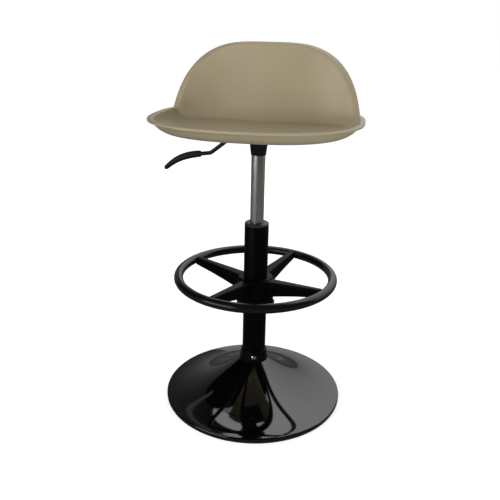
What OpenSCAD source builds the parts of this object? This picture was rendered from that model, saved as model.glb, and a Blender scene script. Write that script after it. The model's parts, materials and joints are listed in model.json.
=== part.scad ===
// Bar stool with a gas lift: trumpet base, footrest ring and low bucket seat.
// Millimetres, Z up. The origin is on the floor at the centre of the base.
// The front of the seat faces -Y and the height lever lies under the sitter's right hand, at -X.

/* [Base] */
// Diameter of the base
base_d = 385; // [340:5:440]
// Height of the upright edge of the base cover above the floor
base_edge_h = 12; // [9:1:18]
// Height at which the trumpet meets the foot collar
base_neck_z = 88; // [75:1:105]
// How hollow the trumpet is, 1 being a plain cone
base_hollow_share = 1.75; // [1.3:0.05:2.4]
// Sheet thickness of the base cover
base_wall = 2; // [1.5:0.25:3]
// Thickness of the rubber pad under the base
pad_t = 4; // [3:0.5:6]
// Thickness of the cast weight inside the base
weight_t = 10; // [8:1:14]

/* [Column] */
// Diameter of the column tube
column_d = 50; // [46:1:60]
// Wall of the column tube
column_wall = 2; // [1.5:0.25:3]
// Height of the top of the column tube
column_top_z = 397; // [380:1:420]
// Height of the foot collar
collar_h = 24; // [18:1:32]
// Diameter of the screw head in the foot collar
foot_screw_d = 11; // [9:1:13]

/* [Footrest] */
// Height of the middle of the footrest ring
ring_z = 283; // [260:1:300]
// Diameter of the footrest ring along the middle of its tube
ring_d = 324; // [290:2:350]
// Diameter of the ring's tube
ring_tube_d = 19; // [16:1:24]
// Diameter of the hub round the column
hub_d = 78; // [72:1:90]
// Height of the hub
hub_h = 68; // [60:1:80]
// Direction of the first arm, counted from +X
arm_turn = 67; // [0:1:89]
// Number of arms
arm_count = 4; // [3:1:5]

/* [Gas lift] */
// Diameter of the gas cylinder
cylinder_d = 28; // [26:1:30]
// Length of the cylinder below the seat socket
cylinder_len = 360; // [340:5:370]
// Height of the seat socket's lower end in the pose shown
socket_z = 541; // [535:1:560]
// Diameter of the piston rod
rod_d = 10; // [8:1:12]
// Travel of the lift below the pose shown
lift_down = 125; // [100:5:125]
// Travel of the lift above the pose shown
lift_up = 75; // [50:5:85]

/* [Seat] */
// Width of the seat over its flared rim
seat_w = 404; // [380:1:430]
// Distance of the seat's widest line in front of the column axis
seat_shift = 25; // [10:1:40]
// Reach of the seat forward of its widest line
seat_front = 186; // [170:1:210]
// Reach of the seat behind its widest line
seat_rear = 140; // [132:1:165]
// Squareness of the seat's front half in plan, 2 being an ellipse
front_square_share = 2.4; // [2:0.1:2.8]
// Squareness of the seat's rear half in plan
rear_square_share = 3.4; // [2.6:0.1:4]
// Thickness of the seat shell
shell_t = 4.5; // [3.5:0.25:6]
// Height of the front rim above the pan
front_rim_h = 23; // [20:1:30]
// Height of the back rim above the pan
back_rim_h = 154; // [130:1:170]
// Half angle that the back wraps round the sitter
back_wrap = 66; // [60:1:76]
// Radius at which the rim flares outward
flare_r = 10; // [8:0.5:12]
// Radius between the pan and the back
pan_corner_r = 34; // [26:1:38]

/* [Lever] */
// Diameter of the lever rod
lever_d = 8; // [7:0.5:9]
// Reach of the lever from the column axis
lever_reach = 193; // [180:1:204]
// Thickest part of the grip
grip_d = 14; // [12:0.5:17]

/* [Hidden] */

// Cutting tools run past the faces they cut by this much
overrun = 1;
// Sides of the round parts
fine = 96;
// Sides of small round parts
small = 32;

// Base
base_r = base_d / 2;
edge_round_r = 3;
edge_steps = 6;
trumpet_steps = 26;
trumpet_crowd_share = 1.35;
collar_r = 31;
collar_top_r = 28;
collar_round = 1.5;
pad_inset = 1.5;
pad_chamfer = 0.8;
pad_lip_w = 2.2;
pad_lip_h = 4;
fit_gap = 0.3;
base_foot_r = base_r - pad_inset;
cover_inner_r = base_r - base_wall;
lip_outer_r = cover_inner_r - fit_gap;
lip_inner_r = lip_outer_r - pad_lip_w;
weight_r = lip_inner_r - fit_gap;
weight_bore_r = 22;
weight_steps = 8;
weight_top_z = pad_t + weight_t;
neck_r = collar_r - collar_round;

// Column
column_r = column_d / 2;
column_inner_r = column_r - column_wall;
flange_r = 58;
flange_t = 6;
flange_top_z = weight_top_z + flange_t;
flange_screw_pitch_r = 42;
flange_screw_count = 4;
flange_screw_r = 4;
flange_head_r = 6.5;
flange_head_h = 5;
flange_screw_turn = 45;
socket_key_r = 3.4;
socket_key_depth = 3;
foot_screw_turn = -79;
foot_screw_z = base_neck_z + collar_h / 2;
foot_screw_r = 3;
foot_head_h = 3;
foot_head_top_share = 0.67;
foot_screw_reach = 5;
bush_flange_h = 5;
bush_len = 60;
bush_chamfer = 2;
bush_cap_r = column_r - 3 * bush_chamfer / 2;
run_gap = 0.05;
bush_outer_r = column_inner_r;
bush_slot_w = 3;
bush_slot_h = 40;
bush_slot_count = 6;

// Footrest
ring_r = ring_d / 2;
ring_tube_r = ring_tube_d / 2;
hub_r = hub_d / 2;
hub_top_z = ring_z;
hub_bottom_z = hub_top_z - hub_h;
hub_chamfer = 4;
hub_wall = 4;
hub_sleeve_wall = 4;
hub_roof = 12;
arm_tip_w = 12;
arm_root_w = 24;
arm_root_top_drop = 2;
arm_root_h = 34;
arm_tip_h = 17;
arm_arch = 2;
arm_tip_r = ring_r - ring_tube_r;
hub_screw_rise = 14;
hub_screw_z = hub_bottom_z + hub_screw_rise;
hub_screw_r = 3;
hub_screw_head_r = 5;
hub_screw_head_h = 3;
hub_screw_count = 3;

// Gas lift
cyl_r = cylinder_d / 2;
cyl_bore_r = 12;
cyl_bottom_z = socket_z - cylinder_len;
cyl_taper_len = 25;
cyl_taper_drop = 1.1;
cyl_top_z = socket_z + cyl_taper_len;
cyl_lead = 4;
cyl_cap_len = 21;
cyl_end_round = 1.5;
rod_r = rod_d / 2;
clip_t = 2;
clip_r = 9;
rod_end = 3;
clip_gap = 0.2;
clip_z = weight_top_z - clip_t - clip_gap;
rod_bottom_z = clip_z - rod_end;
race_r = 15;
race_t = 2.5;
ball_r = 2.4;
ball_pitch_r = 10.2;
ball_count = 9;
cage_t = 2;
cage_r = 13.5;
cage_bore_r = 7;
ball_gap = 0.12;
race_groove = 0.6;
race_lower_z = flange_top_z;
ball_z = race_lower_z + race_t + ball_r - race_groove;
race_upper_z = ball_z + ball_r - race_groove;
bump_z = race_upper_z + race_t;
bump_h = 12;
bump_r = 12;
guide_len = 22;
piston_len = 12;
piston_r = cyl_bore_r - run_gap;
rod_top_z = cyl_bottom_z + lift_up + guide_len + 2 * piston_len;
pin_r = 3;
pin_stand = 5;
pin_len = 26;
pin_top_z = cyl_top_z + pin_stand;

// Seat socket, plate and bracket
socket_foot_r = 15;
socket_r = 17.5;
socket_cone_h = 20;
lever_r = lever_d / 2;
lever_lift_gap = 0.4;
lever_axis_z = pin_top_z + lever_lift_gap + lever_r;
plate_gap = 1;
plate_z = lever_axis_z + lever_r + plate_gap;
plate_t = 3;
plate_w = 176;
plate_d = 150;
plate_round = 14;
slot_gap = 0.8;
seat_screw_x = 64;
seat_screw_y = 52;
seat_screw_r = 3;
seat_screw_head_r = 6;
seat_screw_head_h = 3.5;
screw_key_share = 0.6;
boss_h = 8;
boss_r = 9;
insert_r = 4.2;
insert_h = 8;
screw_end_gap = 0.5;
seat_screw_len = seat_screw_head_h / 2 + plate_t + insert_h - screw_end_gap;
pan_under_z = plate_z + plate_t + boss_h;
pan_z = pan_under_z + shell_t;
pivot_x = -34;
lever_pivot_drop = 1.5;
pivot_z = lever_axis_z - lever_pivot_drop;
ear_t = 2.5;
ear_gap = 0.5;
barrel_r = 5.2;
barrel_w = 14;
ear_y = barrel_w / 2 + ear_gap;
ear_half_w = 9;
lever_pin_r = 2.5;
lever_pin_head_r = 3.8;
lever_pin_head_h = 1.6;

// Lever line, as places along its reach and below the plate
lever_inner_x = 5;
lever_elbow_x = -54;
lever_bend_r = 14;
lever_knee_x = -97;
lever_knee_drop = 41;
lever_end_x = -140;
lever_end_drop = 47;
grip_start_x = -117;
grip_curl = 25;
grip_tip_drop = 32;
// Grip along its length: radius at the ends, swell, and the lengths of the rounded ends, as shares
grip_end_share = 0.66;
grip_swell_share = 0.34;
grip_swell_from_share = 0.28;
grip_nose_share = 0.06;
grip_nose_tip_share = 0.25;
grip_lead_share = 0.03;
grip_lead_tip_share = 0.86;
grip_steps = 22;
tube_sides = 24;
bend_steps = 8;

// Rounded polyline sweep: points of a circle-like section carried along a path in the XZ plane
function bez(p, t) = (1 - t) * (1 - t) * (1 - t) * p[0] + 3 * t * (1 - t) * (1 - t) * p[1]
    + 3 * t * t * (1 - t) * p[2] + t * t * t * p[3];
function bez_dir(p, t) = let (d = 3 * (1 - t) * (1 - t) * (p[1] - p[0]) + 6 * t * (1 - t) * (p[2] - p[1])
    + 3 * t * t * (p[3] - p[2])) d / norm(d);

// Closed skin over rings of equal length, with a fan at each end
module skin(rings) {
    n = len(rings[0]);
    m = len(rings);
    ones = [for (i = [0:n - 1]) 1 / n];
    mean = function (ring) ones * ring;
    pts = concat([mean(rings[0])], [for (r = rings) each r], [mean(rings[m - 1])]);
    last = len(pts) - 1;
    faces = concat(
        [for (i = [0:n - 1]) [0, 1 + i, 1 + (i + 1) % n]],
        [for (j = [0:m - 2], i = [0:n - 1]) let (a = 1 + j * n + i, b = 1 + j * n + (i + 1) % n)
            each [[a, a + n, b], [b, a + n, b + n]]],
        [for (i = [0:n - 1]) [last, 1 + (m - 1) * n + (i + 1) % n, 1 + (m - 1) * n + i]]
    );
    polyhedron(pts, faces, convexity = 8);
}

// Trumpet line of the base, from the edge inward
trumpet_start_r = base_r - edge_round_r;
trumpet_w = trumpet_start_r - neck_r;
trumpet_h = base_neck_z - base_edge_h;
function trumpet_z(r) = base_edge_h + trumpet_h * pow((trumpet_start_r - r) / trumpet_w, base_hollow_share);
function trumpet_slope(r) = atan(base_hollow_share * trumpet_h / trumpet_w
    * pow((trumpet_start_r - r) / trumpet_w, base_hollow_share - 1));
trumpet_rs = [for (i = [0:trumpet_steps]) let (s = i / trumpet_steps)
    trumpet_start_r - trumpet_w * (1 - pow(1 - s, trumpet_crowd_share))];

module floor_pad() {
    color("#1c1c1c")
    rotate_extrude($fn = fine)
    polygon([
        [0, 0], [base_foot_r - pad_chamfer, 0], [base_foot_r, pad_chamfer], [base_foot_r, pad_t],
        [lip_outer_r, pad_t], [lip_outer_r, pad_t + pad_lip_h],
        [lip_inner_r, pad_t + pad_lip_h], [lip_inner_r, pad_t], [0, pad_t]
    ]);
}

// Height of the weight's shoulder at radius r, one fit gap under the cover, and where the flat top begins
function under_cover_z(r) = trumpet_z(r) - base_wall / cos(trumpet_slope(r)) - fit_gap;
shoulder_rise = weight_top_z + base_wall + 2 * fit_gap - base_edge_h;
weight_shoulder_r = trumpet_start_r - trumpet_w * pow(shoulder_rise / trumpet_h, 1 / base_hollow_share);

module base_weight() {
    shoulder_rs = [for (i = [0:weight_steps]) weight_r + (weight_shoulder_r - weight_r) * i / weight_steps];
    color("#3a3a3c")
    difference() {
        rotate_extrude($fn = fine)
        polygon(concat(
            [[weight_bore_r, pad_t], [weight_r, pad_t]],
            [for (r = shoulder_rs) [r, min(weight_top_z, under_cover_z(r))]],
            [[weight_bore_r, weight_top_z]]
        ));
        for (i = [0:flange_screw_count - 1])
            rotate(flange_screw_turn + i * 360 / flange_screw_count)
            translate([flange_screw_pitch_r, 0, pad_t - overrun])
            cylinder(r = flange_screw_r, h = weight_t + 2 * overrun, $fn = small);
    }
}

module base_cover() {
    round_z = base_edge_h - edge_round_r;
    edge_arc = [for (i = [1:edge_steps - 1]) 90 * i / edge_steps];
    outer = concat(
        [[base_r, pad_t], [base_r, round_z]],
        [for (a = edge_arc) [trumpet_start_r + edge_round_r * cos(a), round_z + edge_round_r * sin(a)]],
        [for (r = trumpet_rs) [r, trumpet_z(r)]]
    );
    inner_round_r = edge_round_r - base_wall;
    inner = concat(
        [[cover_inner_r, pad_t], [cover_inner_r, round_z]],
        [for (a = edge_arc) [trumpet_start_r + inner_round_r * cos(a), round_z + inner_round_r * sin(a)]],
        [for (r = trumpet_rs) let (t = trumpet_slope(r))
            [r - base_wall * sin(t), trumpet_z(r) - base_wall * cos(t)]]
    );
    color("#0b0b0c")
    rotate_extrude($fn = fine)
    polygon(concat(
        outer,
        [[column_r, base_neck_z], [column_r, base_neck_z - base_wall]],
        [for (i = [len(inner) - 1:-1:0]) inner[i]]
    ));
}

module column_flange() {
    color("#4a4a4c")
    difference() {
        translate([0, 0, weight_top_z]) cylinder(r = flange_r, h = flange_t, $fn = fine);
        translate([0, 0, weight_top_z - overrun])
            cylinder(r = rod_r + run_gap, h = flange_t + 2 * overrun, $fn = small);
        for (i = [0:flange_screw_count - 1])
            rotate(flange_screw_turn + i * 360 / flange_screw_count)
            translate([flange_screw_pitch_r, 0, weight_top_z - overrun])
            cylinder(r = flange_screw_r, h = flange_t + 2 * overrun, $fn = small);
    }
}

module flange_screws() {
    color("#8c8c90")
    for (i = [0:flange_screw_count - 1])
        rotate(flange_screw_turn + i * 360 / flange_screw_count)
        translate([flange_screw_pitch_r, 0, 0])
        difference() {
            union() {
                translate([0, 0, pad_t])
                    cylinder(r = flange_screw_r, h = weight_t + flange_t + flange_head_h / 2, $fn = small);
                translate([0, 0, flange_top_z]) cylinder(r = flange_head_r, h = flange_head_h, $fn = small);
            }
            translate([0, 0, flange_top_z + flange_head_h - socket_key_depth])
                cylinder(r = socket_key_r, h = socket_key_depth + overrun, $fn = 6);
        }
}

module column_tube() {
    color("#111113")
    difference() {
        translate([0, 0, flange_top_z]) cylinder(r = column_r, h = column_top_z - flange_top_z, $fn = fine);
        translate([0, 0, flange_top_z - overrun])
            cylinder(r = column_inner_r, h = column_top_z - flange_top_z + 2 * overrun, $fn = fine);
        rotate(foot_screw_turn) translate([0, 0, foot_screw_z]) rotate([0, 90, 0])
            cylinder(r = foot_screw_r, h = column_r + overrun, $fn = small);
        for (i = [0:hub_screw_count - 1])
            rotate(hub_screw_turn(i)) translate([0, 0, hub_screw_z]) rotate([0, 90, 0])
            cylinder(r = hub_screw_r, h = column_r + overrun, $fn = small);
    }
}

module foot_collar() {
    color("#151517")
    difference() {
        translate([0, 0, base_neck_z])
        rotate_extrude($fn = fine)
        polygon([
            [column_r, 0], [collar_r, 0], [collar_r, collar_round], [collar_top_r, collar_h - collar_round],
            [collar_top_r - collar_round, collar_h], [column_r, collar_h]
        ]);
        rotate(foot_screw_turn) translate([0, 0, foot_screw_z]) rotate([0, 90, 0])
            cylinder(r = foot_screw_r, h = collar_r + overrun, $fn = small);
        rotate(foot_screw_turn) translate([collar_top_r, 0, foot_screw_z]) rotate([0, 90, 0])
            cylinder(r = foot_screw_d / 2, h = collar_r, $fn = small);
    }
}

module foot_screw() {
    head_r = foot_screw_d / 2;
    shank_z = column_inner_r - foot_screw_reach;
    color("#c9c9cc")
    rotate(foot_screw_turn) translate([0, 0, foot_screw_z]) rotate([0, 90, 0])
    difference() {
        union() {
            translate([0, 0, shank_z])
                cylinder(r = foot_screw_r, h = collar_top_r - shank_z + foot_head_h / 2, $fn = small);
            translate([0, 0, collar_top_r]) cylinder(r = head_r, h = foot_head_h / 2, $fn = small);
            translate([0, 0, collar_top_r + foot_head_h / 2])
                cylinder(r1 = head_r, r2 = head_r * foot_head_top_share, h = foot_head_h / 2, $fn = small);
        }
        translate([0, 0, collar_top_r + foot_head_h / 2])
            cylinder(r = foot_screw_r / 2, h = foot_head_h, $fn = 6);
    }
}

module column_bush() {
    color("#1a1a1a")
    difference() {
        rotate_extrude($fn = fine)
        polygon([
            [cyl_r + run_gap, column_top_z - bush_len], [bush_outer_r, column_top_z - bush_len],
            [bush_outer_r, column_top_z], [column_r, column_top_z],
            [column_r, column_top_z + bush_flange_h - bush_chamfer],
            [bush_cap_r, column_top_z + bush_flange_h],
            [cyl_r + run_gap + bush_chamfer / 2, column_top_z + bush_flange_h],
            [cyl_r + run_gap, column_top_z + bush_flange_h - bush_chamfer / 2]
        ]);
        for (i = [0:bush_slot_count - 1])
            rotate(i * 360 / bush_slot_count)
            translate([cyl_r + 2 * bush_chamfer, -bush_slot_w / 2, column_top_z - bush_len - overrun])
            cube([bush_outer_r, bush_slot_w, bush_slot_h + overrun]);
    }
}

function hub_screw_turn(i) = arm_turn + 360 / arm_count / 2 + i * 360 / hub_screw_count;

module footrest_hub() {
    color("#0f0f11")
    difference() {
        rotate_extrude($fn = fine)
        polygon([
            [column_r, hub_bottom_z], [column_r + hub_sleeve_wall, hub_bottom_z],
            [column_r + hub_sleeve_wall, hub_top_z - hub_roof], [hub_r - hub_wall, hub_top_z - hub_roof],
            [hub_r - hub_wall, hub_bottom_z], [hub_r, hub_bottom_z],
            [hub_r, hub_top_z - hub_chamfer], [hub_r - hub_chamfer, hub_top_z], [column_r, hub_top_z]
        ]);
        for (i = [0:hub_screw_count - 1])
            rotate(hub_screw_turn(i)) translate([0, 0, hub_screw_z]) rotate([0, 90, 0])
            cylinder(r = hub_screw_r, h = hub_r + overrun, $fn = small);
    }
}

module hub_screws() {
    color("#2b2b2d")
    for (i = [0:hub_screw_count - 1])
        rotate(hub_screw_turn(i)) translate([0, 0, hub_screw_z]) rotate([0, 90, 0])
        difference() {
            union() {
                translate([0, 0, column_inner_r])
                    cylinder(r = hub_screw_r, h = hub_r - column_inner_r + hub_screw_head_h / 2, $fn = small);
                translate([0, 0, hub_r]) cylinder(r = hub_screw_head_r, h = hub_screw_head_h, $fn = small);
            }
            translate([0, 0, hub_r + hub_screw_head_h / 2])
                cylinder(r = hub_screw_r / 2, h = hub_screw_head_h, $fn = 6);
        }
}

// One arm, seen from the side: deep at the hub, shallow at the ring, and wider toward the hub
module arm() {
    len_r = arm_tip_r - hub_r;
    root_low = hub_top_z - arm_root_top_drop - arm_root_h;
    tip_low = ring_z - arm_tip_h / 2;
    sleeve_r = column_r + hub_sleeve_wall;
    tip_top = ring_z + arm_tip_h / 2;
    root_top = hub_top_z - arm_root_top_drop;
    difference() {
        intersection() {
            rotate([90, 0, 0])
            translate([0, 0, -arm_root_w])
            linear_extrude(2 * arm_root_w)
            polygon([
                [sleeve_r, root_low], [hub_r, root_low],
                [hub_r + len_r / 2, (root_low + tip_low) / 2 + arm_arch],
                [ring_r, tip_low], [ring_r, tip_top],
                [hub_r + len_r / 2, (root_top + tip_top) / 2], [hub_r, root_top], [sleeve_r, root_top]
            ]);
            translate([0, 0, hub_bottom_z])
            linear_extrude(2 * hub_h)
            polygon([
                [0, -arm_root_w / 2], [hub_r, -arm_root_w / 2], [ring_r, -arm_tip_w / 2],
                [ring_r, arm_tip_w / 2], [hub_r, arm_root_w / 2], [0, arm_root_w / 2]
            ]);
        }
        translate([0, 0, hub_bottom_z - overrun]) cylinder(r = hub_r, h = 2 * hub_h, $fn = fine);
        ring_solid();
    }
}

module footrest_arms() {
    color("#0f0f11")
    for (i = [0:arm_count - 1]) rotate(arm_turn + i * 360 / arm_count) arm();
}

module ring_solid() {
    translate([0, 0, ring_z]) rotate_extrude($fn = fine)
        translate([ring_r, 0]) circle(r = ring_tube_r, $fn = small);
}

module footrest_ring() {
    color("#0d0d0f")
    ring_solid();
}

// Race with a shallow groove for the balls on one face
module race(z, groove_z) {
    difference() {
        translate([0, 0, z]) cylinder(r = race_r, h = race_t, $fn = fine);
        translate([0, 0, z - overrun]) cylinder(r = rod_r + run_gap, h = race_t + 2 * overrun, $fn = small);
        translate([0, 0, groove_z]) rotate_extrude($fn = fine)
            translate([ball_pitch_r, 0]) circle(r = ball_r + ball_gap, $fn = small);
    }
}

module bearing_lower_race() { color("#b9bbbe") race(race_lower_z, ball_z); }

module bearing_upper_race() { color("#b9bbbe") race(race_upper_z, ball_z); }

module bearing_cage() {
    color("#b08d3c")
    difference() {
        translate([0, 0, ball_z - cage_t / 2]) cylinder(r = cage_r, h = cage_t, $fn = fine);
        translate([0, 0, ball_z - cage_t]) cylinder(r = cage_bore_r, h = 2 * cage_t, $fn = fine);
        for (i = [0:ball_count - 1])
            rotate(i * 360 / ball_count) translate([ball_pitch_r, 0, ball_z - cage_t])
            cylinder(r = ball_r + ball_gap, h = 2 * cage_t, $fn = small);
    }
}

module bearing_balls() {
    color("#d8dadd")
    for (i = [0:ball_count - 1])
        rotate(i * 360 / ball_count) translate([ball_pitch_r, 0, ball_z]) sphere(r = ball_r, $fn = small);
}

module bump_stop() {
    color("#202022")
    rotate_extrude($fn = fine)
    polygon([
        [rod_r + run_gap, bump_z], [bump_r, bump_z], [bump_r, bump_z + bump_h / 2],
        [(bump_r + rod_r) / 2, bump_z + bump_h], [rod_r + run_gap, bump_z + bump_h]
    ]);
}

module piston_rod() {
    groove_r = rod_r - clip_t / 2;
    color("#d4d6d9")
    difference() {
        translate([0, 0, rod_bottom_z]) cylinder(r = rod_r, h = rod_top_z - rod_bottom_z, $fn = small);
        translate([0, 0, clip_z]) rotate_extrude($fn = small)
            polygon([[groove_r, 0], [rod_r + overrun, 0], [rod_r + overrun, clip_t], [groove_r, clip_t]]);
    }
}

module rod_clip() {
    cut_h = clip_t + 2 * overrun;
    color("#8f9194")
    difference() {
        translate([0, 0, clip_z]) cylinder(r = clip_r, h = clip_t, $fn = small);
        translate([0, 0, clip_z - overrun]) cylinder(r = rod_r - clip_t / 2, h = cut_h, $fn = small);
        translate([0, clip_t - rod_r, clip_z - overrun])
            cube([clip_r + overrun, 2 * (rod_r - clip_t), cut_h]);
    }
}

module piston() {
    color("#9a9c9f")
    translate([0, 0, rod_top_z - piston_len])
    difference() {
        cylinder(r = piston_r, h = piston_len, $fn = fine);
        translate([0, 0, -overrun]) cylinder(r = rod_r, h = piston_len + 2 * overrun, $fn = small);
        translate([0, 0, piston_len / 2]) rotate_extrude($fn = fine)
            translate([piston_r, 0]) circle(r = clip_t / 2, $fn = small);
    }
}

// Radius of the cylinder's taper and of its seat in the socket at height z
function taper_r(z) = cyl_r - cyl_taper_drop * (z - (socket_z - cyl_lead)) / (cyl_lead + cyl_taper_len);

module gas_cylinder() {
    cap_z = cyl_top_z - cyl_cap_len;
    color("#c4c6c8")
    rotate_extrude($fn = fine)
    polygon([
        [cyl_bore_r, cyl_bottom_z], [cyl_r - cyl_end_round, cyl_bottom_z],
        [cyl_r, cyl_bottom_z + cyl_end_round], [cyl_r, socket_z - cyl_lead],
        [taper_r(socket_z), socket_z], [taper_r(cyl_top_z), cyl_top_z], [pin_r + run_gap, cyl_top_z],
        [pin_r + run_gap, cap_z], [cyl_bore_r, cap_z]
    ]);
}

module cylinder_guide() {
    color("#2a2a2c")
    translate([0, 0, cyl_bottom_z])
    difference() {
        cylinder(r = cyl_bore_r, h = guide_len, $fn = fine);
        translate([0, 0, -overrun]) cylinder(r = rod_r + run_gap, h = guide_len + 2 * overrun, $fn = small);
    }
}

module valve_pin() {
    color("#c2a14d")
    translate([0, 0, pin_top_z - pin_len]) cylinder(r = pin_r, h = pin_len, $fn = small);
}

module seat_socket() {
    color("#161618")
    difference() {
        rotate_extrude($fn = fine)
        polygon([
            [taper_r(socket_z), socket_z], [socket_foot_r, socket_z], [socket_r, socket_z + socket_cone_h],
            [socket_r, plate_z], [taper_r(cyl_top_z), plate_z], [taper_r(cyl_top_z), cyl_top_z]
        ]);
        translate([-socket_r - overrun, -lever_r - slot_gap, lever_axis_z - lever_r - slot_gap - pin_stand])
            cube([socket_r, 2 * (lever_r + slot_gap), plate_z]);
    }
}

module seat_plate() {
    color("#1b1b1d")
    difference() {
        translate([0, 0, plate_z]) linear_extrude(plate_t)
        union() {
            square([plate_w - 2 * plate_round, plate_d], center = true);
            square([plate_w, plate_d - 2 * plate_round], center = true);
            for (x = [-1, 1], y = [-1, 1])
                translate([x * (plate_w / 2 - plate_round), y * (plate_d / 2 - plate_round)])
                circle(r = plate_round, $fn = small);
        }
        for (x = [-1, 1], y = [-1, 1])
            translate([x * seat_screw_x, y * seat_screw_y, plate_z - overrun])
            cylinder(r = seat_screw_r, h = plate_t + 2 * overrun, $fn = small);
    }
}

module lever_bracket() {
    color("#1b1b1d")
    difference() {
        for (y = [-1, 1])
            translate([pivot_x, y * (ear_y + ear_t / 2), 0])
            rotate([90, 0, 0])
            linear_extrude(ear_t, center = true)
            intersection() {
                union() {
                    translate([-ear_half_w, pivot_z]) square([2 * ear_half_w, plate_z - pivot_z]);
                    translate([0, pivot_z]) circle(r = ear_half_w, $fn = small);
                }
                translate([-ear_half_w, pivot_z - ear_half_w])
                    square([2 * ear_half_w, plate_z - pivot_z + ear_half_w]);
            }
        translate([pivot_x, 0, pivot_z]) rotate([90, 0, 0])
            cylinder(r = lever_pin_r, h = 2 * barrel_w, center = true, $fn = small);
    }
}

module lever_pin() {
    color("#a5a7aa")
    translate([pivot_x, 0, pivot_z]) rotate([90, 0, 0])
    union() {
        cylinder(r = lever_pin_r, h = 2 * (ear_y + ear_t) + lever_pin_head_h, center = true, $fn = small);
        for (side = [0, 1]) mirror([0, 0, side])
            translate([0, 0, ear_y + ear_t])
            cylinder(r = lever_pin_head_r, h = lever_pin_head_h, $fn = small);
    }
}

// Corners of the lever rod's middle line: over the valve pin, elbow, knee, and end in the grip
lever_elbow_z = lever_axis_z - lever_pivot_drop * (lever_inner_x - lever_elbow_x) / (lever_inner_x - pivot_x);
lever_path = [
    [lever_inner_x, lever_axis_z], [lever_elbow_x, lever_elbow_z],
    [lever_knee_x, plate_z - lever_knee_drop], [lever_end_x, plate_z - lever_end_drop]
];
function course(p, i) = (p[i + 1] - p[i]) / norm(p[i + 1] - p[i]);
// Turn at corner i of a line, positive to the left
function turn_at(p, i) = let (u = course(p, i - 1), v = course(p, i))
    atan2(u[0] * v[1] - u[1] * v[0], u[0] * v[0] + u[1] * v[1]);
// Points of the bend that rounds corner i
function bend(p, i) = let (
        turn = turn_at(p, i), side = turn > 0 ? 1 : -1, u = course(p, i - 1),
        centre = p[i] - lever_bend_r * (tan(abs(turn) / 2) * u + side * [u[1], -u[0]]),
        start = atan2(u[1], u[0]) - 90 * side
    ) [for (k = [0:bend_steps]) let (t = start + turn * k / bend_steps)
        centre + lever_bend_r * [cos(t), sin(t)]];
lever_line = concat([lever_path[0]], bend(lever_path, 1), bend(lever_path, 2), [lever_path[3]]);
function line_dir(p, i) = let (d = p[min(i + 1, len(p) - 1)] - p[max(i - 1, 0)]) d / norm(d);

// Ring of points round c in the XZ plane, square to direction d
function ring_about(c, d, r) = [for (i = [0:tube_sides - 1]) let (a = 360 * i / tube_sides)
    [c[0] + r * cos(a) * d[1], r * sin(a), c[1] - r * cos(a) * d[0]]];

module lever_rod() {
    color("#121214")
    difference() {
        union() {
            skin([for (i = [0:len(lever_line) - 1])
                ring_about(lever_line[i], line_dir(lever_line, i), lever_r)]);
            translate([pivot_x, 0, pivot_z]) rotate([90, 0, 0])
                cylinder(r = barrel_r, h = barrel_w, center = true, $fn = small);
        }
        translate([pivot_x, 0, pivot_z]) rotate([90, 0, 0])
            cylinder(r = lever_pin_r + run_gap, h = 2 * barrel_w, center = true, $fn = small);
    }
}

// Radius of the grip at share s of its length: a swelling body with a rounded tip and a small lead-in
function grip_swell(s) = sin(180 * (grip_swell_from_share + s * (1 - grip_swell_from_share)));
function grip_r(s) = grip_d / 2
    * (grip_end_share + grip_swell_share * grip_swell(s))
    * (s > 1 - grip_nose_share
        ? sqrt(max(pow(grip_nose_tip_share, 2), 1 - pow((s - 1 + grip_nose_share) / grip_nose_share, 2)))
        : grip_lead_tip_share + (1 - grip_lead_tip_share) * min(1, s / grip_lead_share));

// The part of the grip's inside that the end of the rod fills
module grip_bore() {
    d = lever_path[3] - lever_path[2];
    translate([lever_knee_x, 0, plate_z - lever_knee_drop]) rotate([0, atan2(d[0], d[1]), 0])
        cylinder(r = lever_r, h = norm(d), $fn = small);
}

module lever_grip() {
    end_z = plate_z - lever_end_drop;
    ctrl = [
        [grip_start_x, end_z + (lever_end_drop - lever_knee_drop) * (grip_start_x - lever_end_x)
            / (lever_knee_x - lever_end_x)],
        [grip_start_x - 2 * grip_d, end_z],
        [grip_curl - lever_reach, end_z - grip_d / 2],
        [-lever_reach, end_z - grip_tip_drop]
    ];
    rings = [for (j = [0:grip_steps]) let (s = j / grip_steps)
        ring_about(bez(ctrl, s), bez_dir(ctrl, s), grip_r(s))];
    color("#101012")
    difference() {
        skin(rings);
        grip_bore();
    }
}

module seat_screws() {
    color("#9b9da0")
    for (x = [-1, 1], y = [-1, 1])
        translate([x * seat_screw_x, y * seat_screw_y, 0])
        difference() {
            union() {
                translate([0, 0, plate_z - seat_screw_head_h / 2])
                    cylinder(r = seat_screw_r, h = seat_screw_len, $fn = small);
                translate([0, 0, plate_z - seat_screw_head_h])
                    cylinder(r = seat_screw_head_r, h = seat_screw_head_h, $fn = small);
            }
            translate([0, 0, plate_z - seat_screw_head_h - overrun])
                cylinder(r = seat_screw_r * screw_key_share, h = seat_screw_head_h / 2 + overrun, $fn = 6);
        }
}

module seat_inserts() {
    color("#b3913f")
    for (x = [-1, 1], y = [-1, 1])
        translate([x * seat_screw_x, y * seat_screw_y, plate_z + plate_t])
        difference() {
            cylinder(r = insert_r, h = insert_h, $fn = small);
            translate([0, 0, -overrun]) cylinder(r = seat_screw_r, h = insert_h + 2 * overrun, $fn = small);
        }
}

// Seat outline in plan at angle a from the back, to the outer edge of the rim
seat_half_w = seat_w / 2;
function plan_r(a) = let (b = cos(a) > 0 ? seat_rear : seat_front,
        k = cos(a) > 0 ? rear_square_share : front_square_share)
    1 / pow(pow(abs(sin(a)) / seat_half_w, k) + pow(abs(cos(a)) / b, k), 1 / k);
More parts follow.
